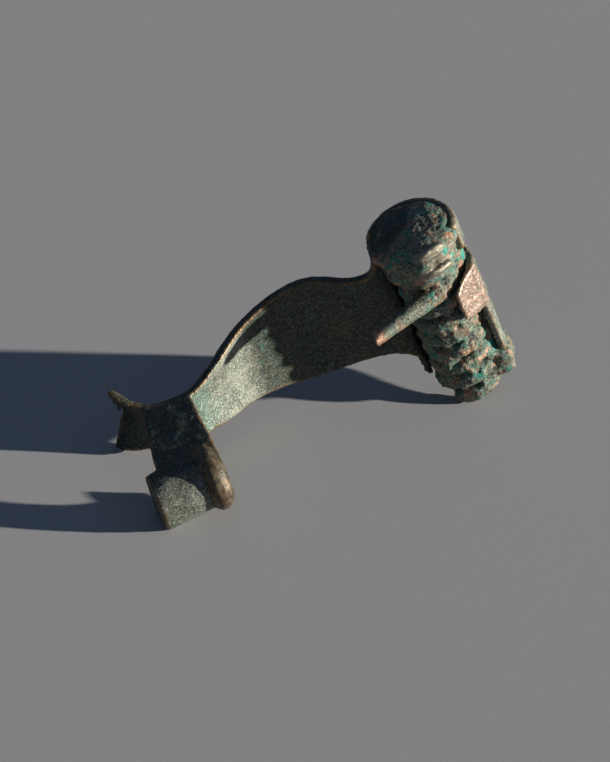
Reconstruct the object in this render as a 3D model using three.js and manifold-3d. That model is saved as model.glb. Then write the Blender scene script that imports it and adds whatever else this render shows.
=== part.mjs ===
// A small bronze bow brooch (fibula) lying on its side, with a corroded spring and a broken pin.
// Local brooch frame: x runs from the foot to the head, y along the spring, z towards the front of the bow.
// Millimetres. The finished group is turned into the lying pose, with +Z up and its lowest flats on z = 0.
import * as THREE from 'three';
import { mergeVertices } from 'three/addons/utils/BufferGeometryUtils.js';
import { ConvexHull } from 'three/addons/math/ConvexHull.js';
import Module from 'manifold-3d';

const wasm = await Module();
wasm.setup();

// Overall sizes
const headX = 35.7;            // from the foot's end to the spring's axis
const headSkew = -0.12;        // turn of the whole head in the plane of the foot, in radians
const headZ = 0.8;             // height of the spring's axis in front of the foot's inner face
const hoodLow = 10.4;          // from the bow's middle to the upper end of the hood
const hoodHigh = 9.8;          // and to its lower end, where the coil stands out
const fitGap = 0.4;            // clearance between the spring and the cast body

// Spring and pin
const wireRadius = 0.92;
const coilRadius = 2.6;        // from the spring's axis to the middle of the wire
const coilPitch = 2.12;
const coilProud = 2.4;         // how far the coil stands out of the lower end
const coilEndClear = 0.3;      // how far the coil ends inside the upper end
const pinBaseRadius = 1.2;
const pinTipRadius = 0.62;
const pinStubLength = 8.4;
const pinSide = -3.9;          // where the pin leaves the coil, along y
const pinBreakTilt = 0.5;      // slant of the broken end, as a share of its radius
const wireFacets = 9;
const stepsPerTurn = 16;
const pinFacets = 12;
const pinSteps = 8;

// Crust that closes the upper end of the coil: distance from the hood's end, off the axis, angle round it, radius
const crustLumps = [
  { fromEnd: 2.1, off: 0, angle: 0, radius: 2.4 },
  { fromEnd: 2.2, off: 1.7, angle: 0.6, radius: 1.6 },
  { fromEnd: 2.4, off: 1.9, angle: 1.9, radius: 1.7 },
  { fromEnd: 2.2, off: 1.7, angle: 3.2, radius: 1.5 },
];
const lumpAround = 16;
const lumpDown = 10;

// Hood
const hoodWall = 0.75;
const hoodInner = coilRadius + wireRadius + fitGap;
const hoodOuter = hoodInner + hoodWall;
const hoodRound = 0.4;         // rounding of the hood's upper end
const rimTilt = 0.56;          // turn of the opening towards the foot, in radians
const rimDepth = 0.3;          // from the spring's axis to the plane of the rim
const notchFrom = -7.2;
const notchTo = -4.5;
const notchDepth = 2.6;
const hoodFacets = 40;
const roundSteps = 5;

// Lug that is bent over the spring
const lugFrom = -4.3;
const lugTo = 0.9;
const lugStart = 0.1;          // angles round the spring's axis, in radians from the head towards the pin side
const lugEnd = 1.32;
const lugFlatTurn = 0.98;
const lugFlatDepth = 0.55;
const lugProud = 0.1;          // how far the lug stands out of the hood
const lugPinch = 0.9;          // how much each side of the lug draws in at its tip
const lugPinchFrom = 0.55;     // and the share of its length where that starts
const lugSteps = 10;

// Bow: place, half widths on both sides, thickness in the middle and at the edges, slant and hollow of the section
// Places are given for a head at bowDrawn and stretch with it
const bowDrawn = 35.7;
const bowStations = [
  { x: 0.8, z: 4.2, low: 3.7, high: 3.4, thick: 0.7, edge: 0.45, skew: -0.16, notch: 1.5 },
  { x: 2.2, z: 2.2, low: 3.2, high: 2.9, thick: 1.1, edge: 0.6, skew: -0.08, notch: 0.6 },
  { x: 4.6, z: 0.5, low: 2.8, high: 2.6, thick: 1.4, edge: 0.75, skew: 0, notch: 0 },
  { x: 8.5, z: 0.0, low: 2.8, high: 2.8, thick: 1.6, edge: 0.8, skew: 0, notch: 0 },
  { x: 12.0, z: 1.5, low: 3.6, high: 3.7, thick: 1.8, edge: 0.8, skew: 0, notch: 0 },
  { x: 16.0, z: 3.9, low: 4.7, high: 4.8, thick: 2.1, edge: 0.8, skew: 0, notch: 0 },
  { x: 20.5, z: 5.1, low: 5.6, high: 6.2, thick: 2.4, edge: 0.85, skew: 0, notch: 0 },
  { x: 24.0, z: 4.7, low: 6.0, high: 6.4, thick: 2.4, edge: 0.9, skew: 0, notch: 0 },
  { x: 27.3, z: 3.3, low: 5.1, high: 5.5, thick: 2.2, edge: 0.9, skew: 0, notch: 0 },
  { x: 29.9, z: 2.5, low: 5.3, high: 5.7, thick: 2.1, edge: 0.9, skew: 0.08, notch: 0 },
  { x: 31.5, z: 2.2, low: 7.0, high: 7.2, thick: 2.2, edge: 1.0, skew: 0.15, notch: 0 },
  { x: 33.0, z: 2.6, low: 8.8, high: 9.4, thick: 2.2, edge: 1.0, skew: 0.17, notch: 0 },
];
const bowSteps = 34;           // sections along the bow
const bowFacets = 9;           // points across each face of the bow
const bowHollow = 0.35;        // how far the inner face is hollowed across

// Catchplate and catch
const plateThick = 1.05;
const plateSide = -2.75;       // outer face of the plate, along y
const plateHeight = 9.5;       // from the foot's inner face to the middle of the catch
const plateHeadTop = 8.6;
const plateHeadEnd = 7.6;
const plateFootTop = 3.6;
const plateFootEnd = 2.0;
const plateRoot = 0.9;         // how far the plate is sunk into the foot
const plateCornerFoot = 8.0;   // height where the plate's foot side turns outwards
const catchCornerFoot = 8.5;   // height where it meets the catch
const catchOuter = 2.5;
const catchWall = 1.15;
const catchFrom = 0.8;
const catchTo = 7.3;
const catchReturn = 1.3;       // length of the turned-back leg
const catchSteps = 12;
const catchStop = 0.9;         // wall that closes the catch at the foot's end
const beadRadius = 1.05;       // thick worn lip on the head side of the catch
const beadSink = 0.25;
const beadLead = 2.6;          // how far the lip runs up the plate
const beadStart = 3.25;        // angles round the catch where the lip starts and ends
const beadEnd = 0.55;
const beadPlace = 0.63;        // from the catch's head side to the middle of the lip
const beadFacets = 10;
const beadSteps = 22;
const beadRise = 3;            // points up the plate
const beadBlunt = 6;           // how blunt the ends of the lip are
const beadTip = 0.2;           // least share of the lip's radius at its ends

// Lying pose
const lyingUp = new THREE.Vector3(0.25, -0.97, -0.02);
const flatDepth = 0.25;        // worn flats where the brooch lies on the table
const cutSize = 120;

const bronze = new THREE.MeshStandardMaterial({ color: 0x59645a, roughness: 0.55, metalness: 0.6 });
const corroded = new THREE.MeshStandardMaterial({ color: 0x6f8474, roughness: 0.8, metalness: 0.35 });

function toManifold(geometry) {
  const bare = geometry.clone();
  bare.deleteAttribute('normal');
  bare.deleteAttribute('uv');
  const merged = mergeVertices(bare, 1e-5);
  return new wasm.Manifold(new wasm.Mesh({
    numProp: 3,
    vertProperties: new Float32Array(merged.attributes.position.array),
    triVerts: new Uint32Array(merged.index.array),
  }));
}

function toGeometry(solid) {
  const mesh = solid.getMesh();
  const geometry = new THREE.BufferGeometry();
  geometry.setAttribute('position', new THREE.BufferAttribute(new Float32Array(mesh.vertProperties), 3));
  geometry.setIndex(new THREE.BufferAttribute(new Uint32Array(mesh.triVerts), 1));
  geometry.computeVertexNormals();
  return geometry;
}

// Closes a row of equal rings into one solid skin
function skin(rings) {
  const size = rings[0].length;
  const points = rings.flat();
  const index = [];
  for (let r = 0; r < rings.length - 1; r++) {
    for (let k = 0; k < size; k++) {
      const a = r * size + k;
      const b = r * size + (k + 1) % size;
      index.push(a, b, a + size, b, b + size, a + size);
    }
  }
  for (const [row, turned] of [[0, true], [rings.length - 1, false]]) {
    const middle = new THREE.Vector3();
    rings[row].forEach((point) => middle.addScaledVector(point, 1 / size));
    points.push(middle);
    for (let k = 0; k < size; k++) {
      const a = row * size + k;
      const b = row * size + (k + 1) % size;
      index.push(points.length - 1, turned ? b : a, turned ? a : b);
    }
  }
  const geometry = new THREE.BufferGeometry().setFromPoints(points);
  geometry.setIndex(index);
  return geometry;
}

function solidFromRings(rings) {
  let solid = toManifold(skin(rings));
  if (solid.volume() < 0 || solid.isEmpty()) {
    solid = toManifold(skin(rings.map((ring) => [...ring].reverse())));
  }
  return solid;
}

function smoothAt(key, t) {
  const last = bowStations.length - 1;
  const place = t * last;
  const i = Math.min(Math.floor(place), last - 1);
  const f = place - i;
  const v = [i - 1, i, i + 1, i + 2].map((n) => bowStations[Math.min(Math.max(n, 0), last)][key]);
  const a = 2 * v[1];
  const b = v[2] - v[0];
  const c = 2 * v[0] - 5 * v[1] + 4 * v[2] - v[3];
  const d = 3 * v[1] - v[0] - 3 * v[2] + v[3];
  return (a + b * f + c * f * f + d * f * f * f) / 2;
}

function bowX(t) {
  return smoothAt('x', t) * headX / bowDrawn;
}

function bowSection(t) {
  const step = 1e-3;
  const t0 = Math.max(t - step, 0);
  const t1 = Math.min(t + step, 1);
  const dx = bowX(t1) - bowX(t0);
  const dz = smoothAt('z', t1) - smoothAt('z', t0);
  const length = Math.hypot(dx, dz);
  const out = new THREE.Vector3(-dz / length, 0, dx / length);
  const ring = [];
  const low = smoothAt('low', t);
  const high = smoothAt('high', t);
  const thick = smoothAt('thick', t);
  const edge = smoothAt('edge', t);
  const skew = smoothAt('skew', t);
  const notch = smoothAt('notch', t);
  for (const side of [0, 1]) {
    for (let k = 0; k <= bowFacets; k++) {
      const across = side ? 1 - 2 * k / bowFacets : -1 + 2 * k / bowFacets;
      const y = across * (across < 0 ? low : high);
      const crown = 1 - across * across;
      const level = side ? edge + (thick - edge) * Math.sqrt(crown) : bowHollow * crown;
      const point = new THREE.Vector3(bowX(t) + skew * y + notch * crown, y, smoothAt('z', t));
      ring.push(point.addScaledVector(out, level));
    }
  }
  return ring;
}

function bow() {
  const rings = [];
  for (let i = 0; i <= bowSteps; i++) {
    rings.push(bowSection(i / bowSteps));
  }
  return solidFromRings(rings);
}

// A barrel round the spring's axis, with a rounded low end and a square high end
function barrel(radius, low, high) {
  const profile = [new THREE.Vector2(0, -low)];
  for (let i = 0; i <= roundSteps; i++) {
    const a = (i / roundSteps) * Math.PI / 2;
    profile.push(new THREE.Vector2(radius - hoodRound * (1 - Math.sin(a)),
      -low + hoodRound * (1 - Math.cos(a))));
  }
  profile.push(new THREE.Vector2(radius, high));
  profile.push(new THREE.Vector2(0, high));
  const geometry = new THREE.LatheGeometry(profile, hoodFacets);
  geometry.rotateZ(headSkew);
  geometry.translate(headX, 0, headZ);
  return toManifold(geometry);
}

function block(from, to, turn = 0, skew = 0, about = new THREE.Vector3()) {
  const size = new THREE.Vector3().subVectors(to, from);
  const geometry = new THREE.BoxGeometry(size.x, size.y, size.z);
  geometry.translate((from.x + to.x) / 2, (from.y + to.y) / 2, (from.z + to.z) / 2);
  geometry.rotateY(turn);
  geometry.rotateZ(skew);
  geometry.translate(about.x, about.y, about.z);
  return toManifold(geometry);
}

// Point at an angle round an axis along y: 0 towards the head, a quarter turn towards the pin side
function aroundSpring(radius, angle, y) {
  const point = new THREE.Vector3(radius * Math.cos(angle), y, -radius * Math.sin(angle));
  point.applyAxisAngle(new THREE.Vector3(0, 0, 1), headSkew);
  return point.add(new THREE.Vector3(headX, 0, headZ));
}

function hood() {
  const axis = new THREE.Vector3(headX, 0, headZ);
  const reach = hoodLow + hoodOuter;
  const outer = barrel(hoodOuter, hoodLow, hoodHigh);
  const cavity = barrel(hoodInner, hoodLow + hoodWall, hoodHigh + hoodWall);
  const opening = block(new THREE.Vector3(-reach, -reach, -reach), new THREE.Vector3(reach, reach, -rimDepth),
    rimTilt, headSkew, axis);
  const notch = block(new THREE.Vector3(0, notchFrom, -reach), new THREE.Vector3(reach, notchTo, notchDepth),
    rimTilt, headSkew, axis);
  return { shell: outer.subtract(opening).subtract(notch), cavity };
}

function lug() {
  const rings = [];
  for (let i = 0; i <= lugSteps; i++) {
    const f = i / lugSteps;
    const angle = lugStart + (lugEnd - lugStart) * f;
    const pinch = lugPinch * Math.pow(Math.max(0, f - lugPinchFrom) / (1 - lugPinchFrom), 2);
    const from = lugFrom + pinch;
    const to = lugTo - pinch;
    rings.push([aroundSpring(hoodInner, angle, from), aroundSpring(hoodInner, angle, to),
      aroundSpring(hoodOuter + lugProud, angle, to), aroundSpring(hoodOuter + lugProud, angle, from)]);
  }
  const reach = hoodOuter * 2;
  const flat = block(new THREE.Vector3(hoodOuter - lugFlatDepth + lugProud, -reach, -reach),
    new THREE.Vector3(hoodOuter * 2, reach, reach), lugFlatTurn, headSkew, new THREE.Vector3(headX, 0, headZ));
  return solidFromRings(rings).subtract(flat);
}

// Outline of the catchplate and its turned-back end, seen along x, from the foot to the free edge
function catchProfile(filled) {
  const centreY = plateSide + catchOuter;
  const inner = catchOuter - catchWall;
  const outline = [new THREE.Vector2(plateSide, plateRoot), new THREE.Vector2(plateSide + plateThick, plateRoot)];
  for (let i = 0; i <= catchSteps && !filled; i++) {
    const a = Math.PI * (i / catchSteps);
    outline.push(new THREE.Vector2(centreY - inner * Math.cos(a), -plateHeight - inner * Math.sin(a)));
  }
  if (filled) {
    outline.push(new THREE.Vector2(plateSide + plateThick, -plateHeight + catchReturn));
  }
  outline.push(new THREE.Vector2(centreY + inner, -plateHeight + catchReturn));
  outline.push(new THREE.Vector2(centreY + catchOuter, -plateHeight + catchReturn));
  for (let i = catchSteps; i >= 0; i--) {
    const a = Math.PI * (i / catchSteps);
    outline.push(new THREE.Vector2(centreY - catchOuter * Math.cos(a), -plateHeight - catchOuter * Math.sin(a)));
  }
  return new THREE.Shape(outline);
}

function alongFoot(filled, depth) {
  const geometry = new THREE.ExtrudeGeometry(catchProfile(filled), { depth, bevelEnabled: false });
  const turned = new THREE.Matrix4().makeBasis(new THREE.Vector3(0, 1, 0), new THREE.Vector3(0, 0, 1),
    new THREE.Vector3(1, 0, 0));
  geometry.applyMatrix4(turned);
  geometry.translate(catchFrom, 0, 0);
  return toManifold(geometry);
}

function catchBlank() {
  const blank = alongFoot(false, plateHeadTop - catchFrom).add(alongFoot(true, catchStop));
  const side = new THREE.Shape([
    new THREE.Vector2(plateFootTop, plateRoot * 2),
    new THREE.Vector2(plateFootEnd, -plateCornerFoot),
    new THREE.Vector2(catchFrom - plateThick, -catchCornerFoot),
    new THREE.Vector2(catchFrom - plateThick, -plateHeight - catchOuter * 2),
    new THREE.Vector2(plateHeadEnd, -plateHeight - catchOuter * 2),
    new THREE.Vector2(plateHeadTop, plateRoot * 2),
  ]);
  const mask = new THREE.ExtrudeGeometry(side, { depth: cutSize, bevelEnabled: false });
  mask.rotateX(Math.PI / 2);
  mask.translate(0, cutSize / 2, 0);
  return blank.intersect(toManifold(mask));
}

function bead() {
  const centreY = plateSide + catchOuter;
  const middle = catchOuter - beadSink;
  const path = [];
  for (let i = 0; i < beadRise; i++) {
    const f = i / beadRise;
    path.push(new THREE.Vector3(catchTo - beadPlace, plateSide + beadRadius * (1 - f),
      -plateHeight + beadLead * (1 - f)));
  }
  for (let i = 0; i <= catchSteps; i++) {
    const a = beadStart + (beadEnd - beadStart) * (i / catchSteps);
    path.push(new THREE.Vector3(catchTo - beadPlace, centreY + middle * Math.cos(a),
      -plateHeight - middle * Math.sin(a)));
  }
  const curve = new THREE.CatmullRomCurve3(path);
  const rings = [];
  for (let i = 0; i <= beadSteps; i++) {
    const t = i / beadSteps;
    const centre = curve.getPointAt(t);
    const along = curve.getTangentAt(t);
    const away = new THREE.Vector3(1, 0, 0);
    const over = new THREE.Vector3().crossVectors(along, away).normalize();
    const ends = Math.max(beadTip, Math.sqrt(1 - Math.pow(2 * t - 1, beadBlunt)));
    const ring = [];
    for (let k = 0; k < beadFacets; k++) {
      const a = 2 * Math.PI * k / beadFacets;
      ring.push(centre.clone().addScaledVector(away, beadRadius * ends * Math.cos(a))
        .addScaledVector(over, beadRadius * ends * Math.sin(a)));
    }
    rings.push(ring);
  }
  return solidFromRings(rings);
}

class Helix extends THREE.Curve {
  constructor(from, to) {
    super();
    this.from = from;
    this.to = to;
  }

  getPoint(t, target = new THREE.Vector3()) {
    const y = this.from + (this.to - this.from) * t;
    const angle = 2 * Math.PI * (y - pinSide) / coilPitch + Math.PI / 2;
    return target.copy(aroundSpring(coilRadius, angle, y));
  }
}

function spring() {
  const from = -hoodLow + coilEndClear + wireRadius;
  const to = hoodHigh + coilProud - wireRadius;
  const helix = new Helix(from, to);
  const turns = (to - from) / coilPitch;
  const steps = Math.round(turns * stepsPerTurn);
  const rings = [];
  for (let i = 0; i <= steps; i++) {
    const centre = helix.getPoint(i / steps);
    const axis = aroundSpring(0, 0, from + (to - from) * i / steps);
    const away = new THREE.Vector3().subVectors(centre, axis).normalize();
    const along = helix.getTangent(Math.min(Math.max(i / steps, 1e-3), 1 - 1e-3));
    const over = new THREE.Vector3().crossVectors(along, away).normalize();
    const ring = [];
    for (let k = 0; k < wireFacets; k++) {
      const a = 2 * Math.PI * k / wireFacets;
      ring.push(centre.clone().addScaledVector(away, wireRadius * Math.cos(a))
        .addScaledVector(over, wireRadius * Math.sin(a)));
    }
    rings.push(ring);
  }
  return solidFromRings(rings);
}

function crust() {
  return crustLumps.map(({ fromEnd, off, angle, radius }) => {
    const centre = aroundSpring(off, angle, fromEnd - hoodLow);
    const geometry = new THREE.SphereGeometry(radius, lumpAround, lumpDown);
    geometry.translate(centre.x, centre.y, centre.z);
    return toManifold(geometry);
  });
}

function pinStub() {
  const base = aroundSpring(coilRadius, Math.PI / 2, pinSide);
  const catchMiddle = new THREE.Vector3((catchFrom + catchTo) / 2, plateSide + catchOuter, -plateHeight);
  const along = new THREE.Vector3().subVectors(catchMiddle, base).normalize();
  const over = new THREE.Vector3().crossVectors(along, new THREE.Vector3(0, 1, 0)).normalize();
  const side = new THREE.Vector3().crossVectors(over, along).normalize();
  const rings = [];
  for (let i = 0; i <= pinSteps; i++) {
    const f = i / pinSteps;
    const radius = pinBaseRadius + (pinTipRadius - pinBaseRadius) * f;
    const ring = [];
    for (let k = 0; k < pinFacets; k++) {
      const a = 2 * Math.PI * k / pinFacets;
      const slant = i === pinSteps ? pinBreakTilt * radius * Math.cos(a) : 0;
      ring.push(base.clone().addScaledVector(along, pinStubLength * f + slant)
        .addScaledVector(over, radius * Math.cos(a)).addScaledVector(side, radius * Math.sin(a)));
    }
    rings.push(ring);
  }
  return solidFromRings(rings);
}

// Middle of mass of a closed skin and its volume
function massCentre(geometry) {
  const position = geometry.attributes.position;
  const index = geometry.index;
  const [a, b, c] = [new THREE.Vector3(), new THREE.Vector3(), new THREE.Vector3()];
  const centre = new THREE.Vector3();
  let volume = 0;
  for (let i = 0; i < index.count; i += 3) {
    a.fromBufferAttribute(position, index.getX(i));
    b.fromBufferAttribute(position, index.getX(i + 1));
    c.fromBufferAttribute(position, index.getX(i + 2));
    const piece = a.dot(new THREE.Vector3().crossVectors(b, c)) / 6;
    centre.addScaledVector(new THREE.Vector3().add(a).add(b).add(c), piece / 4);
    volume += piece;
  }
  return { centre: centre.divideScalar(volume), volume };
}

// The way the brooch really lies: the hull facet nearest the wished pose that holds its weight
function lyingTurn(geometries) {
  const points = [];
  const weight = new THREE.Vector3();
  let total = 0;
  for (const geometry of geometries) {
    const { centre, volume } = massCentre(geometry);
    weight.addScaledVector(centre, volume);
    total += volume;
    const position = geometry.attributes.position;
    for (let i = 0; i < position.count; i++) {
      points.push(new THREE.Vector3().fromBufferAttribute(position, i));
    }
  }
  weight.divideScalar(total);
  const hull = new ConvexHull().setFromPoints(points);
  let best = null;
  for (const face of hull.faces) {
    const corners = [face.edge.tail().point, face.edge.head().point, face.edge.next.head().point];
    const inside = corners.every((corner, k) => {
      const edge = new THREE.Vector3().subVectors(corners[(k + 1) % 3], corner);
      const arm = new THREE.Vector3().subVectors(weight, corner);
      return new THREE.Vector3().crossVectors(edge, arm).dot(face.normal) > 0;
    });
    const match = -face.normal.dot(lyingUp);
    if (inside && (best === null || match > best.match)) {
      best = { match, normal: face.normal.clone() };
    }
  }
  const up = best.normal.negate();
  const along = new THREE.Vector3(1, 0, 0).addScaledVector(up, -up.x).normalize();
  const across = new THREE.Vector3().crossVectors(up, along);
  return new THREE.Matrix4().makeBasis(along, across, up).transpose();
}

function bodySolid() {
  const { shell, cavity } = hood();
  return shell.add(bow()).subtract(cavity).add(lug()).add(catchBlank()).add(bead());
}

const body = toGeometry(bodySolid());
const coil = toGeometry(crust().reduce((sum, lump) => sum.add(lump), spring().add(pinStub())));
const turn = lyingTurn([body, coil]);
[body, coil].forEach((geometry) => geometry.applyMatrix4(turn));
const box = new THREE.Box3();
[body, coil].forEach((geometry) => {
  geometry.computeBoundingBox();
  box.union(geometry.boundingBox);
});
const middle = box.getCenter(new THREE.Vector3());

function settled(geometry) {
  geometry.translate(-middle.x, -middle.y, -box.min.z - flatDepth);
  const below = block(new THREE.Vector3(-cutSize, -cutSize, -cutSize), new THREE.Vector3(cutSize, cutSize, 0));
  return toGeometry(toManifold(geometry).subtract(below));
}

const group = new THREE.Group();
for (const [name, geometry, material] of [['brooch_body', body, bronze], ['spring_and_pin', coil, corroded]]) {
  const mesh = new THREE.Mesh(settled(geometry), material);
  mesh.name = name;
  group.add(mesh);
}

export default group;
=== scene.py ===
import math

import bmesh
import bpy
import numpy as np
from mathutils import Matrix, Vector, noise


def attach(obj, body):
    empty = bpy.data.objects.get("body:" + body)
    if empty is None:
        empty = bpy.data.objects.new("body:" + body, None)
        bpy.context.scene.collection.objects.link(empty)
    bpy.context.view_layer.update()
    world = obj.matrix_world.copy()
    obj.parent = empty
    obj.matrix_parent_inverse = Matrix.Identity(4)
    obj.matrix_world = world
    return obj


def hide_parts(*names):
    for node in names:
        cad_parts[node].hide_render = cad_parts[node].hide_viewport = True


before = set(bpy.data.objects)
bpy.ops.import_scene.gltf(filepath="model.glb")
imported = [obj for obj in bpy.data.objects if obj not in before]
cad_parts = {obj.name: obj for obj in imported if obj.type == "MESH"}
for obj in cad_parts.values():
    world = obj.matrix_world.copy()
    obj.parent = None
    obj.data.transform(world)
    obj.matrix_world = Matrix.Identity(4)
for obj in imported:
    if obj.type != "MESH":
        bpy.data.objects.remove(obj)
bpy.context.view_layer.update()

MM = 0.001

# The photograph's view: azimuth and elevation in degrees, and what the middle of the picture looks at
AZIMUTH, ELEVATION = -20.5, 32.7
DISTANCE = 330 * MM
LOOK_RIGHT, LOOK_UP = -2.5 * MM, 6.28 * MM
PIXELS_PER_MM = 9.97
PICTURE_WIDTH = 610
SENSOR_WIDTH = 36

# Low key light: azimuth from the picture's right towards the back, height and spread, in degrees
KEY_AZIMUTH, KEY_HEIGHT, KEY_SPREAD = -5.5, 12.0, 1.4
KEY_POWER = 8.0
KEY_COLOUR = (1.0, 0.945, 0.86)
SKY_COLOUR = (0.46, 0.64, 1.0, 1)
SKY_POWER = 0.155

# Grey paper under the brooch: half its side in metres, and its two tones
PAPER_HALF_SIDE = 1.2
PAPER_DARK, PAPER_PALE = (0.345, 0.345, 0.35), (0.375, 0.375, 0.378)

# The brooch's own axes as it lies: along it, along the spring, towards the front of the bow
ALONG = np.array((0.96517, 0.0, 0.26163))
ACROSS = np.array((0.26046, 0.09433, -0.96086))
FRONT = np.array((-0.02468, 0.99554, 0.09105))
SHIFT = np.array((21.346, -2.544, -2.568))

# Middle of the spring's axis in the brooch's own millimetres, and the turn of that axis
HEAD = np.array((35.7, 0.0, 0.8))
HEAD_SKEW = -0.12

# Size of the fine skins' faces, and how many times each skin is softened
BODY_GRAIN, BODY_SOFTENING = 0.158 * MM, 3
SPRING_GRAIN, SPRING_SOFTENING = 0.14 * MM, 2

# From here on, a pair in brackets is a fade: none of a feature at the first value, all of it at the second.
# Places are in the brooch's own millimetres, distances are from the spring's axis and angles round it.

# Foot, fin and catch, by place along the brooch or by depth behind its front
FIN_ALONG, FIN_THICKER = (3.0, 1.8), 0.17
CATCH_DEPTH, CATCH_THICKER = (-6.0, -8.0), 0.10
FLAP_DEPTH = (-9.0, -10.5)
LIP_ALONG, LIP_DEPTH = (5.3, 5.9), (-6.4, -7.4)
FOOT_FIN_END, FOOT_BOW_END = (3.0, 6.0), (17.5, 14.5)
FOOT_DEPTH, FOOT_INNER_FACE = (-4.0, -1.5), (0.2, 0.7)
FOOT_GREEN = (12.5, 9.0)

# Hood and lug, by distance, by angle and by place along the spring
HOOD_DISTANCE, HOOD_TOP = (6.6, 4.9), (-11.5, -10)
HOOD_HOLLOW, HOOD_RAGGED_END = (4.2, 4.0), (6.5, 9.5)
# The hood's lit side, painted paler as light
HOOD_LIT_ALONG = (34.0, 36.5)
LUG_NEAR, LUG_FAR = (3.9, 4.0), (5.4, 5.0)
LUG_START, LUG_STOP = (0.35, 0.55), (1.5, 1.3)
LUG_TOP, LUG_BOTTOM = (-4.6, -4.2), (1.3, 0.9)

# Corrosion crust of the spring: its length, its plain radius and its lumps
CRUST_FROM, CRUST_TO = -11.2, 10.9
CRUST_RADIUS, CRUST_SWELL, CRUST_LIMIT = 2.95, 0.85, 3.8
CRUST_LUMPY = (0.5, 3.0)
LUMP_ROUND, LUMP_ALONG, LUMP_START = 1.9, 0.6, 4.0
CRUST_DOME, CRUST_CHAMFER = 1.7, 0.5

# Where the crust grows out of the hood's mouth at its upper end
MOUTH_START, MOUTH_NARROWING = -0.2, 1.55
CAP_ALONG, CAP_RISE, CAP_MOUTH_RISE = (-5.6, -7.8), 0.45, 1.75

# Where it fills the hood, covers the hood's upper rim and covers its lower corner
FILL_RADIUS, FILL_ANGLE = 4.1, -0.55
FILL_SPREAD, FILL_END = (0.15, 0.75), (9.9, 9.2)
RIM_RADIUS, RIM_ALONG = 4.75, (-8.6, -9.5)
CORNER_RADIUS, CORNER_ANGLE = 5.0, 0.05
CORNER_SPREAD, CORNER_TOP, CORNER_BOTTOM = (0.55, 0.85), (6.6, 8.2), (10.9, 10.3)

# Two rubbed ridges on the crust: place along the spring and distance of each
RIDGES = ((-10.45, 4.3), (-8.6, 5.15))
RIDGE_ANGLE, RIDGE_REACH, RIDGE_RADIUS = 1.5, 0.32, 0.46
RIDGE_RUBBED = (0.62, 0.46)

# Rough parts of the spring, its side painted in shade, and the broken end of its pin
COIL_DISTANCE, CAP_ROUGH = (5.0, 4.3), (-5.6, -7.0)
PAINTED_SHADE_LEFT, PAINTED_SHADE_BACK, PAINTED_SHADE_TOP = (2.4, 2.95), (-0.9, -1.4), (-4.5, -6.5)
PIN_BREAK = (28.6, 27.6)

# Finishes of the cast body
DARK_PATINA, GREEN_PATINA = (0.015, 0.023, 0.018), (0.043, 0.055, 0.037)
BROWN_PATINA, TEAL_PATINA = (0.080, 0.060, 0.040), (0.035, 0.150, 0.125)
# Pale colours painting the key light on the lit foot, flap and hood, with some wear
LIT_WORN_DULL, LIT_WORN_PALE = (0.135, 0.160, 0.122), (0.250, 0.262, 0.208)
VERDIGRIS = (0.095, 0.205, 0.160)
# The pale specks paint glints; the dark specks are pits
PAINTED_GLINTS, DARK_SPECKS = (0.52, 0.52, 0.44), (0.012, 0.018, 0.015)
# Colour of pits, also painting shade inside the hood
PATINA_PITS_AND_SHADE = (0.012, 0.017, 0.014)
LIP_BROWN, LIP_OCHRE = (0.060, 0.048, 0.030), (0.170, 0.122, 0.072)
WORN_OCHRE = (0.27, 0.155, 0.070)
BARE_DARK, BARE_PALE = (0.20, 0.115, 0.080), (0.56, 0.42, 0.34)

# Finishes of the corroded spring
CRUST_DARK, CRUST_OLIVE = (0.040, 0.062, 0.045), (0.190, 0.205, 0.140)
CRUST_BROWN, CRUST_TEAL = (0.230, 0.150, 0.085), (0.045, 0.185, 0.140)
CRUST_COPPER, CRUST_SPECKS = (0.450, 0.220, 0.120), (0.52, 0.49, 0.38)
# The pits' colour also paints shade on the crust's shaded side
MALACHITE, CRUST_PITS_AND_SHADE = (0.016, 0.270, 0.200), (0.010, 0.014, 0.012)
RUBBED_RIDGE, BARE_COPPER = (0.30, 0.27, 0.20), (0.48, 0.27, 0.17)


def camera_axes():
    a, e = math.radians(AZIMUTH), math.radians(ELEVATION)
    right = Vector((math.cos(a), math.sin(a), 0))
    ahead = Vector((-math.sin(a), math.cos(a), 0))
    up = ahead * math.sin(e) + Vector((0, 0, math.cos(e)))
    back = -ahead * math.cos(e) + Vector((0, 0, math.sin(e)))
    return right, up, back, ahead


RIGHT, UP, BACK, AHEAD = camera_axes()


# Places on the brooch
def own(points):
    """The brooch's own coordinates, in millimetres, of points in the frame."""
    w = points / MM + SHIFT
    return np.stack([w @ ALONG, w @ ACROSS, w @ FRONT], 1)


def head_frame(local):
    """Distance from the spring's axis, angle round it and place along it."""
    d = local - HEAD
    c, s = math.cos(-HEAD_SKEW), math.sin(-HEAD_SKEW)
    x = d[:, 0] * c - d[:, 1] * s
    y = d[:, 0] * s + d[:, 1] * c
    return np.hypot(x, d[:, 2]), np.arctan2(-d[:, 2], x), y


def head_point(radius, angle, y):
    """The point in the frame at a distance, an angle and a place along the spring."""
    x, z = radius * math.cos(angle), -radius * math.sin(angle)
    c, s = math.cos(HEAD_SKEW), math.sin(HEAD_SKEW)
    local = HEAD + np.array((x * c - y * s, x * s + y * c, z))
    return (ALONG * local[0] + ACROSS * local[1] + FRONT * local[2] - SHIFT) * MM


def fractal(points, scale, octaves, shift=0.0):
    """Fractal noise about zero at points in millimetres."""
    place = Vector((shift, shift * 1.7, -shift))
    return np.array([noise.fractal(Vector(p) * scale + place, 0.7, 2.1, octaves) for p in points])


def fade(ends, x):
    """Smooth step from 0 at the first end to 1 at the second."""
    t = np.clip((x - ends[0]) / (ends[1] - ends[0]), 0, 1)
    return t * t * (3 - 2 * t)


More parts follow.
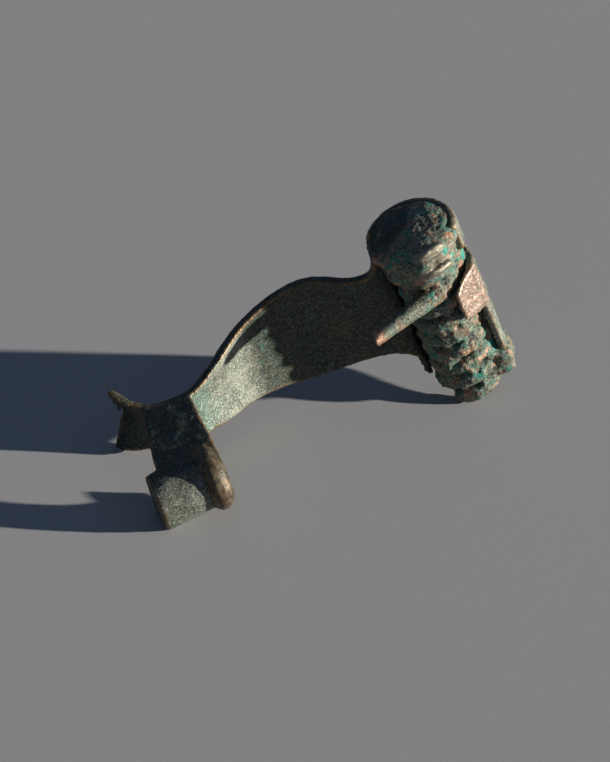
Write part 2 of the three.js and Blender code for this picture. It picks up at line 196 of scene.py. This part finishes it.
# Fine skins
def rounded_copy(name, solid, extra, grain, softening, thicken=None):
    """A fine, rounded copy of a solid's skin, thickened where asked and joined with extra closed skins."""
    mesh = solid.data.copy()
    mesh.transform(solid.matrix_world)
    bm = bmesh.new()
    bm.from_mesh(mesh)
    bmesh.ops.remove_doubles(bm, verts=bm.verts, dist=0.001 * MM)
    if thicken:
        bm.normal_update()
        amounts = thicken(own(np.array([v.co[:] for v in bm.verts])))
        for v, amount in zip(bm.verts, amounts):
            v.co += v.normal * float(amount * MM)
    for points, faces in extra:
        verts = [bm.verts.new(p) for p in points]
        for face in faces:
            bm.faces.new([verts[k] for k in face])
    bm.to_mesh(mesh)
    bm.free()
    piece = bpy.data.objects.new(name, mesh)
    bpy.context.collection.objects.link(piece)
    remesh = piece.modifiers.new("grain", "REMESH")
    remesh.mode = "VOXEL"
    remesh.voxel_size = grain
    soften = piece.modifiers.new("softening", "SMOOTH")
    soften.factor = 0.5
    soften.iterations = softening
    graph = bpy.context.evaluated_depsgraph_get()
    plain = bpy.data.meshes.new_from_object(piece.evaluated_get(graph))
    piece.modifiers.clear()
    piece.data = plain
    return piece


def points_and_normals(mesh):
    co = np.empty(len(mesh.vertices) * 3)
    no = np.empty(len(mesh.vertices) * 3)
    mesh.vertices.foreach_get("co", co)
    mesh.vertex_normals.foreach_get("vector", no)
    return co.reshape(-1, 3), no.reshape(-1, 3)


def push(mesh, amount):
    """Moves each point along its normal by millimetres, and none of them into the table."""
    co, no = points_and_normals(mesh)
    co += no * (amount * MM)[:, None]
    co[:, 2] = np.maximum(co[:, 2], 0)
    mesh.vertices.foreach_set("co", co.ravel())
    mesh.update()


def bend(mesh, rounds):
    """How far each point stands out of the surface round it, in millimetres."""
    co, no = points_and_normals(mesh)
    edges = np.empty(len(mesh.edges) * 2, dtype=np.int64)
    mesh.edges.foreach_get("vertices", edges)
    a, b = edges.reshape(-1, 2).T
    count = np.bincount(a, minlength=len(co)) + np.bincount(b, minlength=len(co))

    def average(values):
        total = np.zeros_like(values)
        np.add.at(total, a, values[b])
        np.add.at(total, b, values[a])
        return total / count[:, None]

    mean = co
    for _ in range(rounds):
        mean = average(mean)
    return ((co - mean) * no).sum(1) / MM


def paint(mesh, name, values):
    """Keeps a share for each point, which the finishes read."""
    layer = mesh.attributes.new(name, "FLOAT", "POINT")
    layer.data.foreach_set("value", np.clip(values, 0, 1).astype(np.float32))


# Corrosion and ridges
def crust_radius(a, y):
    """Distance of the crust's surface from the spring's axis, before its ends are rounded."""
    seed = Vector((math.cos(a) * LUMP_ROUND, math.sin(a) * LUMP_ROUND, y * LUMP_ALONG + LUMP_START))
    swell = noise.fractal(seed, 0.8, 2.0, 3) * CRUST_SWELL * (0.5 + 0.5 * fade(CRUST_LUMPY, y))
    cap = fade(CAP_ALONG, y)
    mouth_turn = min(2 * math.pi, max(0.0, (a - MOUTH_START) * MOUTH_NARROWING))
    mouth = 0.5 - 0.5 * math.cos(mouth_turn)
    fill = fade(FILL_SPREAD, math.cos(a - FILL_ANGLE)) * fade(FILL_END, y)
    corner = fade(CORNER_SPREAD, math.cos(a - CORNER_ANGLE)) * fade(CORNER_TOP, y) * fade(CORNER_BOTTOM, y)
    radius = min(CRUST_LIMIT, CRUST_RADIUS + swell) + mouth * cap * CAP_MOUTH_RISE + CAP_RISE * cap
    radius += max(0, FILL_RADIUS - radius) * max(fill, cap * (1 - mouth))
    radius += max(0, RIM_RADIUS + 0.4 * swell - radius) * fade(RIM_ALONG, y)
    radius += max(0, CORNER_RADIUS + 0.5 * swell - radius) * corner
    return radius


def crust():
    """Corrosion grown between and over the turns of the spring."""
    rings, facets = 84, 72
    points, faces = [], []
    for i in range(rings + 1):
        y = CRUST_FROM + (CRUST_TO - CRUST_FROM) * i / rings
        into_dome = (CRUST_FROM + CRUST_DOME - y) / CRUST_DOME
        into_chamfer = (y - CRUST_TO + CRUST_CHAMFER) / CRUST_CHAMFER
        rounding = math.sqrt(max(0.04, 1 - max(0, into_dome, into_chamfer) ** 2))
        for k in range(facets):
            a = 2 * math.pi * k / facets
            points.append(head_point(crust_radius(a, y) * rounding, a, y))
    for i in range(rings):
        for k in range(facets):
            m = (k + 1) % facets
            faces.append((i * facets + k, i * facets + m, (i + 1) * facets + m, (i + 1) * facets + k))
    faces.append(tuple(reversed(range(facets))))
    faces.append(tuple(range(rings * facets, (rings + 1) * facets)))
    return points, faces


def ridge(y, radius):
    """A short rounded welt that follows a turn of the spring."""
    rings, facets = 16, 12
    points, faces = [], []
    for i in range(rings + 1):
        t = 2 * i / rings - 1
        angle = RIDGE_ANGLE + RIDGE_REACH * t
        thick = RIDGE_RADIUS * math.sqrt(max(0.02, 1 - t * t))
        for k in range(facets):
            a = 2 * math.pi * k / facets
            points.append(head_point(radius + thick * math.cos(a), angle, y + thick * math.sin(a)))
    for i in range(rings):
        for k in range(facets):
            m = (k + 1) % facets
            faces.append((i * facets + k, (i + 1) * facets + k, (i + 1) * facets + m, i * facets + m))
    faces.append(tuple(range(facets)))
    faces.append(tuple(reversed(range(rings * facets, (rings + 1) * facets))))
    return points, faces


def near_ridge(radius, angle, y):
    """How much each point lies on one of the worn ridges."""
    share = np.zeros(len(y))
    for place, out in RIDGES:
        past_end = np.maximum(0, np.abs(angle - RIDGE_ANGLE) - RIDGE_REACH) * out
        distance = np.sqrt((y - place) ** 2 + (radius - out) ** 2 + past_end ** 2)
        share = np.maximum(share, fade(RIDGE_RUBBED, distance))
    return share


# Finishes
class Finish:
    """A material built on Object coordinates in millimetres."""

    def __init__(self, name):
        self.material = bpy.data.materials.new(name)
        self.material.use_nodes = True
        self.tree = self.material.node_tree
        self.out = self.tree.nodes["Principled BSDF"]
        coords = self.node("ShaderNodeTexCoord")
        scale = self.node("ShaderNodeVectorMath", operation="SCALE")
        scale.inputs["Scale"].default_value = 1 / MM
        self.link(coords.outputs["Object"], scale.inputs[0])
        self.place = scale.outputs[0]

    def node(self, kind, **facts):
        made = self.tree.nodes.new(kind)
        for key, value in facts.items():
            setattr(made, key, value)
        return made

    def link(self, a, b):
        self.tree.links.new(a, b)

    def noise(self, scale, detail=3.0, rough=0.55):
        n = self.node("ShaderNodeTexNoise")
        n.inputs["Scale"].default_value = scale
        n.inputs["Detail"].default_value = detail
        n.inputs["Roughness"].default_value = rough
        self.link(self.place, n.inputs["Vector"])
        return n.outputs["Fac"]

    def ramp(self, value, low, high, to_low=0.0, to_high=1.0):
        n = self.node("ShaderNodeMapRange")
        n.inputs["From Min"].default_value = low
        n.inputs["From Max"].default_value = high
        n.inputs["To Min"].default_value = to_low
        n.inputs["To Max"].default_value = to_high
        self.link(value, n.inputs["Value"])
        return n.outputs["Result"]

    def math(self, operation, a, b):
        n = self.node("ShaderNodeMath", operation=operation)
        for socket, value in zip(n.inputs, (a, b)):
            if isinstance(value, (int, float)):
                socket.default_value = value
            else:
                self.link(value, socket)
        return n.outputs[0]

    def mix(self, factor, a, b):
        n = self.node("ShaderNodeMix", data_type="RGBA")
        for socket, value in ((n.inputs[0], factor), (n.inputs[6], a), (n.inputs[7], b)):
            if isinstance(value, tuple):
                socket.default_value = (*value, 1)
            else:
                self.link(value, socket)
        return n.outputs[2]

    def attribute(self, name):
        return self.node("ShaderNodeAttribute", attribute_name=name).outputs["Fac"]

    def set(self, socket, value):
        if isinstance(value, float):
            self.out.inputs[socket].default_value = value
        else:
            self.link(value, self.out.inputs[socket])

    def bump(self, height, strength, distance):
        n = self.node("ShaderNodeBump")
        n.inputs["Strength"].default_value = strength
        n.inputs["Distance"].default_value = distance * MM
        self.link(height, n.inputs["Height"])
        self.link(n.outputs["Normal"], self.out.inputs["Normal"])


def patina():
    """Smooth patina of deep tone, lighter where worn and where key light is painted on the lit faces, with
    painted glints, ochre edges, painted shade inside the hood and a bare facet on the lug.
    """
    s = Finish("patinated_bronze")
    broad, middle, fine = s.noise(0.35, 3), s.noise(1.6, 5), s.noise(5.5, 4, 0.75)
    clouds = s.ramp(middle, 0.35, 0.65)
    wear, lit_and_worn, lip = s.attribute("wear"), s.attribute("lit_and_worn"), s.attribute("lip")
    colour = s.mix(clouds, DARK_PATINA, GREEN_PATINA)
    colour = s.mix(s.ramp(broad, 0.50, 0.66, 0, 0.6), colour, BROWN_PATINA)
    colour = s.mix(s.ramp(s.noise(1.0, 5, 0.7), 0.58, 0.68, 0, 0.7), colour, TEAL_PATINA)
    # Painted light: pale, partly worn colour where the key light falls on the foot, the flap and the hood's
    # side; the foot's green is verdigris
    paler_part = s.mix(s.attribute("verdigris"), s.mix(clouds, LIT_WORN_DULL, LIT_WORN_PALE), VERDIGRIS)
    colour = s.mix(lit_and_worn, colour, paler_part)
    # Painted glints: pale specks, denser where light is painted on the lit faces
    glint_share = s.math("MULTIPLY", s.ramp(fine, 0.52, 0.64), s.ramp(lit_and_worn, 0, 0.7, 0.30, 0.9))
    colour = s.mix(glint_share, colour, PAINTED_GLINTS)
    colour = s.mix(s.ramp(fine, 0.46, 0.36, 0, 0.8), colour, DARK_SPECKS)
    # Pits, and painted shade inside the hood
    colour = s.mix(s.attribute("pits_and_shade"), colour, PATINA_PITS_AND_SHADE)
    colour = s.mix(lip, colour, s.mix(s.ramp(middle, 0.4, 0.6), LIP_BROWN, LIP_OCHRE))
    colour = s.mix(wear, colour, WORN_OCHRE)
    bare = s.math("MULTIPLY", s.attribute("bare"), s.ramp(s.noise(3.2, 4), 0.34, 0.50))
    colour = s.mix(bare, colour, s.mix(s.ramp(fine, 0.4, 0.6), BARE_DARK, BARE_PALE))
    s.set("Base Color", colour)
    s.set("Specular IOR Level", 0.3)
    shine = s.math("MAXIMUM", s.math("MAXIMUM", wear, s.math("MULTIPLY", lip, 0.6)), bare)
    s.set("Metallic", s.ramp(shine, 0, 1, 0.10, 0.55))
    dull = s.ramp(fine, 0.3, 0.7, 0.58, 0.34)
    s.set("Roughness", s.math("SUBTRACT", dull, s.math("MULTIPLY", shine, 0.10)))
    s.bump(s.math("ADD", fine, s.math("MULTIPLY", middle, 1.5)), 0.85, 0.06)
    return s.material


def corrosion():
    """Rough green corrosion with copper patches, deep-toned pits, worn ridges and painted shade on its
    shaded side.
    """
    s = Finish("corroded_bronze")
    broad, middle, fine = s.noise(0.55, 3), s.noise(1.9, 5, 0.65), s.noise(5.0, 4, 0.75)
    wear, bare = s.attribute("wear"), s.attribute("bare")
    colour = s.mix(s.ramp(middle, 0.38, 0.62), CRUST_DARK, CRUST_OLIVE)
    colour = s.mix(s.ramp(broad, 0.50, 0.60, 0, 0.85), colour, CRUST_BROWN)
    colour = s.mix(s.ramp(s.noise(0.9, 4, 0.7), 0.51, 0.58, 0, 0.85), colour, CRUST_TEAL)
    colour = s.mix(s.ramp(s.noise(0.75, 3, 0.6), 0.59, 0.65, 0, 0.9), colour, CRUST_COPPER)
    colour = s.mix(s.ramp(fine, 0.54, 0.66, 0, 0.75), colour, CRUST_SPECKS)
    colour = s.mix(s.ramp(fine, 0.47, 0.38, 0, 0.9), colour, DARK_SPECKS)
    colour = s.mix(s.attribute("malachite"), colour, MALACHITE)
    # Pits, and painted shade on the crust's shaded side
    colour = s.mix(s.attribute("pits_and_shade"), colour, CRUST_PITS_AND_SHADE)
    colour = s.mix(wear, colour, RUBBED_RIDGE)
    colour = s.mix(bare, colour, BARE_COPPER)
    s.set("Base Color", colour)
    shine = s.math("MAXIMUM", wear, bare)
    s.set("Metallic", s.ramp(shine, 0, 1, 0.05, 0.55))
    dull = s.ramp(fine, 0.3, 0.7, 0.66, 0.44)
    s.set("Roughness", s.math("SUBTRACT", dull, s.math("MULTIPLY", shine, 0.34)))
    s.bump(s.math("ADD", fine, s.math("MULTIPLY", middle, 2.0)), 1.0, 0.09)
    return s.material


def grey_paper():
    s = Finish("paper")
    s.set("Base Color", s.mix(s.ramp(s.noise(4.0, 3), 0.3, 0.7), PAPER_DARK, PAPER_PALE))
    s.set("Roughness", 0.95)
    s.set("Specular IOR Level", 0.1)
    s.bump(s.noise(5.0, 3), 0.12, 0.05)
    return s.material


# Cast body
def thin_edges(p):
    """How much thicker the fin and the end of the catch are than in the plain solid, in millimetres."""
    return FIN_THICKER * fade(FIN_ALONG, p[:, 0]) + CATCH_THICKER * fade(CATCH_DEPTH, p[:, 2])


def make_body():
    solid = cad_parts["brooch_body"]
    piece = rounded_copy("bronze_body", solid, [], BODY_GRAIN, BODY_SOFTENING, thin_edges)
    mesh = piece.data
    co, no = points_and_normals(mesh)
    p = own(co)
    along, depth = p[:, 0], p[:, 2]
    radius, angle, y = head_frame(p)
    hood = fade(HOOD_DISTANCE, radius) * fade(HOOD_TOP, y)
    hollow_of_hood = hood * fade(HOOD_HOLLOW, radius)
    ragged = hood * fade(HOOD_RAGGED_END, y)

    # Relief, and what stands out before it and lies deep after it
    edge = bend(mesh, 8)
    lift = 0.05 * fractal(p, 0.45, 2) + 0.022 * fractal(p, 1.9, 3, 5.0) + 0.04
    lift += hood * 0.05 * fractal(p, 1.3, 3, 9.0) + hollow_of_hood * 0.12 * fractal(p, 1.7, 3, 2.0)
    lift += ragged * 0.30 * (fractal(p, 0.9, 3, 7.0) - 0.15)
    push(mesh, lift)
    dent = bend(mesh, 4)

    # Worn edges, pits, painted shade inside the hood and the lip of the catch
    patchy = 0.65 + 0.5 * fractal(p, 0.8, 2, 3.0)
    paint(mesh, "wear", fade((0.032, 0.11), edge) * patchy * (1 - hollow_of_hood))
    paint(mesh, "pits_and_shade", fade((-0.012, -0.05), dent) * 0.8 + hollow_of_hood * 0.35)
    lip = fade(LIP_ALONG, along) * fade(LIP_DEPTH, depth)
    paint(mesh, "lip", lip * (0.75 + 0.5 * fractal(p, 0.7, 2, 21.0)))

    # Paler foot with green at its end, paler flap and paler hood: the paleness is painted light where the
    # low key light falls on these faces, with some wear
    foot = fade(FOOT_BOW_END, along) * fade(FOOT_FIN_END, along)
    foot *= fade(FOOT_INNER_FACE, -(no @ FRONT)) * fade(FOOT_DEPTH, depth)
    paint(mesh, "verdigris", foot * fade(FOOT_GREEN, along + 1.5 * fractal(p, 0.6, 3, 31.0)) * 0.7)
    flap = fade(FLAP_DEPTH, depth) * 0.5 * (1 - lip)
    shell = hood * (1 - hollow_of_hood) * fade(HOOD_LIT_ALONG, along) * 0.8
    paler_part = np.maximum(np.maximum(foot, flap), shell)
    paint(mesh, "lit_and_worn", paler_part * (0.8 + 0.6 * fractal(p, 0.5, 3, 15.0)))

    # Bare facet of the lug
    facet = fade(LUG_START, angle) * fade(LUG_STOP, angle) * fade(LUG_TOP, y) * fade(LUG_BOTTOM, y)
    paint(mesh, "bare", facet * fade(LUG_NEAR, radius) * fade(LUG_FAR, radius))
    return piece


# Spring and broken pin
def make_spring():
    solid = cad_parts["spring_and_pin"]
    grown = [crust()] + [ridge(*r) for r in RIDGES]
    piece = rounded_copy("corroded_spring", solid, grown, SPRING_GRAIN, SPRING_SOFTENING)
    mesh = piece.data
    co, _ = points_and_normals(mesh)
    p = own(co)
    radius, angle, y = head_frame(p)
    coil = np.maximum(fade(COIL_DISTANCE, radius), fade(CAP_ROUGH, y))
    stub = 1 - coil
    paler_part = near_ridge(radius, angle, y)

    # Relief, and what stands out and lies deep after it
    rough = coil * (1 - 0.9 * paler_part)
    lumps = 0.09 * fractal(p, 0.9, 3, 4.0) + 0.06 * fractal(p, 2.8, 3, 8.0) - 0.02
    push(mesh, np.clip(0.03 * fractal(p, 1.5, 3) + rough * lumps, -0.35, 0.2))
    edge = bend(mesh, 6)
    dent = bend(mesh, 10)

    # Rubbed ridges, pits, and painted shade on the crust's side away from the key light
    paint(mesh, "wear", paler_part * 0.9 + stub * 0.35 * fade((0.0, 0.06), edge))
    painted_shade = np.maximum(fade(PAINTED_SHADE_LEFT, angle), fade(PAINTED_SHADE_BACK, angle)) * fade(PAINTED_SHADE_TOP, y)
    pits = fade((-0.03, -0.12), dent) * 0.95
    paint(mesh, "pits_and_shade", np.maximum(pits, 0.8 * painted_shade) * (1 - paler_part))

    # Bare copper on the pin's break and on some lumps, and malachite in patches
    broken_end = stub * fade(PIN_BREAK, p[:, 0])
    rubbed_lumps = coil * fade((0.30, 0.45), fractal(p, 0.5, 2, 6.0)) * fade((0.0, 0.05), edge)
    paint(mesh, "bare", np.maximum(broken_end, rubbed_lumps) * 0.9)
    paint(mesh, "malachite", coil * fade((0.44, 0.56), fractal(p, 0.62, 2, 12.0)) * 0.9)
    return piece


PIECES = (
    (make_body(), "brooch_body", patina(), "patinated_bronze"),
    (make_spring(), "spring_and_pin", corrosion(), "corroded_bronze"))
for made, node, material, slot in PIECES:
    made.data.materials.clear()
    made.data.materials.append(material)
    made.data.polygons.foreach_set("material_index", np.zeros(len(made.data.polygons), dtype=np.int32))
    made.data.shade_smooth()
    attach(made, "root")
    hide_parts(node)

# Grey paper
paper_mesh = bpy.data.meshes.new("paper")
bm = bmesh.new()
bmesh.ops.create_grid(bm, x_segments=1, y_segments=1, size=PAPER_HALF_SIDE)
bm.to_mesh(paper_mesh)
bm.free()
paper = bpy.data.objects.new("paper", paper_mesh)
bpy.context.collection.objects.link(paper)
paper_mesh.materials.append(grey_paper())

# Light
key = bpy.data.lights.new("key", "SUN")
key.energy = KEY_POWER
key.angle = math.radians(KEY_SPREAD)
key.color = KEY_COLOUR
lamp = bpy.data.objects.new("key", key)
a, h = math.radians(KEY_AZIMUTH), math.radians(KEY_HEIGHT)
to_light = (RIGHT * math.cos(a) + AHEAD * math.sin(a)) * math.cos(h) + Vector((0, 0, math.sin(h)))
lamp.rotation_mode = "QUATERNION"
lamp.rotation_quaternion = to_light.to_track_quat("Z", "Y")
bpy.context.collection.objects.link(lamp)

world = bpy.data.worlds.new("sky")
bpy.context.scene.world = world
world.use_nodes = True
world.node_tree.nodes["Background"].inputs["Color"].default_value = SKY_COLOUR
world.node_tree.nodes["Background"].inputs["Strength"].default_value = SKY_POWER

# Camera
cam = bpy.data.objects.new("camera", bpy.data.cameras.new("camera"))
bpy.context.collection.objects.link(cam)
cam.data.sensor_width = SENSOR_WIDTH
cam.data.sensor_fit = "HORIZONTAL"
cam.data.lens = PIXELS_PER_MM / MM * DISTANCE * SENSOR_WIDTH / PICTURE_WIDTH
place = RIGHT * LOOK_RIGHT + UP * LOOK_UP + BACK * DISTANCE
cam.matrix_world = Matrix((
    (RIGHT.x, UP.x, BACK.x, place.x),
    (RIGHT.y, UP.y, BACK.y, place.y),
    (RIGHT.z, UP.z, BACK.z, place.z),
    (0, 0, 0, 1)))
cam.data.clip_start = 0.01
cam.data.clip_end = 10
bpy.context.scene.camera = cam
bpy.context.scene.view_settings.view_transform = "Standard"
